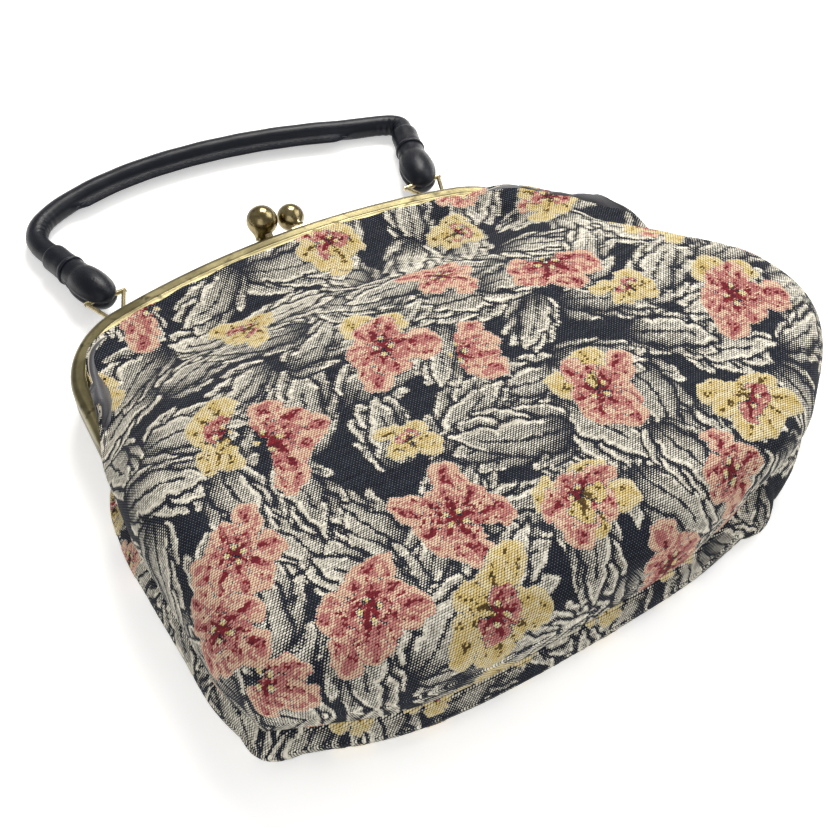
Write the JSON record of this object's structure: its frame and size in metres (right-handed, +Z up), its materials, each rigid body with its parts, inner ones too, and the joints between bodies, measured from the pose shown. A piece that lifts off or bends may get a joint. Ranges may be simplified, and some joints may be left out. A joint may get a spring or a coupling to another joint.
{
  "type": "framed handbag",
  "caption": "Kiss-lock framed handbag in floral tapestry: arched brass frame, ball clasp and a rolled leather top handle hung on wire loops, lying on its back.",
  "frame": {"origin": "under the middle of the bounding box, on the surface the bag lies on", "axes": "+X across the bag, +Y from the bottom seam towards the frame and handle, +Z up, out of the front panel"},
  "size_m": [0.2366, 0.2686, 0.041],
  "materials": {
    "frame_brass": "aged olive-gold brass with worn bright edges",
    "clasp_brass": "polished, lightly tarnished ball clasp",
    "rivet_brass": "satin rivet heads",
    "loop_brass": "drawn brass wire",
    "handle_leather": "navy-black glazed leather with stitched flange",
    "core_cotton": "twisted cotton filler",
    "tapestry": "jacquard floral tapestry on a dark navy ground",
    "interlining": "stiff woven buckram",
    "lining_cloth": "dark satin lining",
    "paper_cord": "twisted kraft paper cord"
  },
  "bodies": {
    "bag": {"back_frame": "frame_brass", "left_hinge_rivet": "rivet_brass", "right_hinge_rivet": "rivet_brass", "back_clasp_arm": "clasp_brass", "back_clasp_knob": "clasp_brass", "back_clasp_rivets": "rivet_brass", "left_handle_eye": "loop_brass", "right_handle_eye": "loop_brass", "back_channel_cord": "paper_cord", "front_panel": "tapestry", "back_panel": "tapestry", "front_interlining": "interlining", "back_interlining": "interlining", "front_lining": "lining_cloth", "back_lining": "lining_cloth", "lining_pocket": "lining_cloth"},
    "front_half": {"front_frame": "frame_brass", "front_clasp_arm": "clasp_brass", "front_clasp_knob": "clasp_brass", "front_clasp_rivets": "rivet_brass", "front_channel_cord": "paper_cord"},
    "left_loop": {"left_wire_loop": "loop_brass"},
    "right_loop": {"right_wire_loop": "loop_brass"},
    "handle": {"left_handle_pod": "handle_leather", "right_handle_pod": "handle_leather", "left_handle_sleeve": "handle_leather", "right_handle_sleeve": "handle_leather", "handle_cover": "handle_leather", "handle_core": "core_cotton"}
  },
  "joints": [
    {"name": "frame_open", "type": "hinge", "parent": "bag", "child": "front_half", "pos_m": [-0.02125, -0.00725, 0.014], "axis": [1, 0, 0], "range_deg": [0, 80]},
    {"name": "left_loop_swing", "type": "hinge", "parent": "bag", "child": "left_loop", "pos_m": [-0.08525, 0.05172, 0.011], "axis": [1, 0, 0], "range_deg": [-30, 45]},
    {"name": "right_loop_swing", "type": "hinge", "parent": "bag", "child": "right_loop", "pos_m": [0.04275, 0.05172, 0.011], "axis": [1, 0, 0], "range_deg": [-30, 45]},
    {"name": "handle_swing", "type": "hinge", "parent": "left_loop", "child": "handle", "pos_m": [-0.08525, 0.06652, 0.0086], "axis": [1, 0, 0], "range_deg": [-60, 50]}
  ],
  "couplings": [
    {"joint": "right_loop_swing", "follows": "left_loop_swing", "ratio": 1}
  ]
}
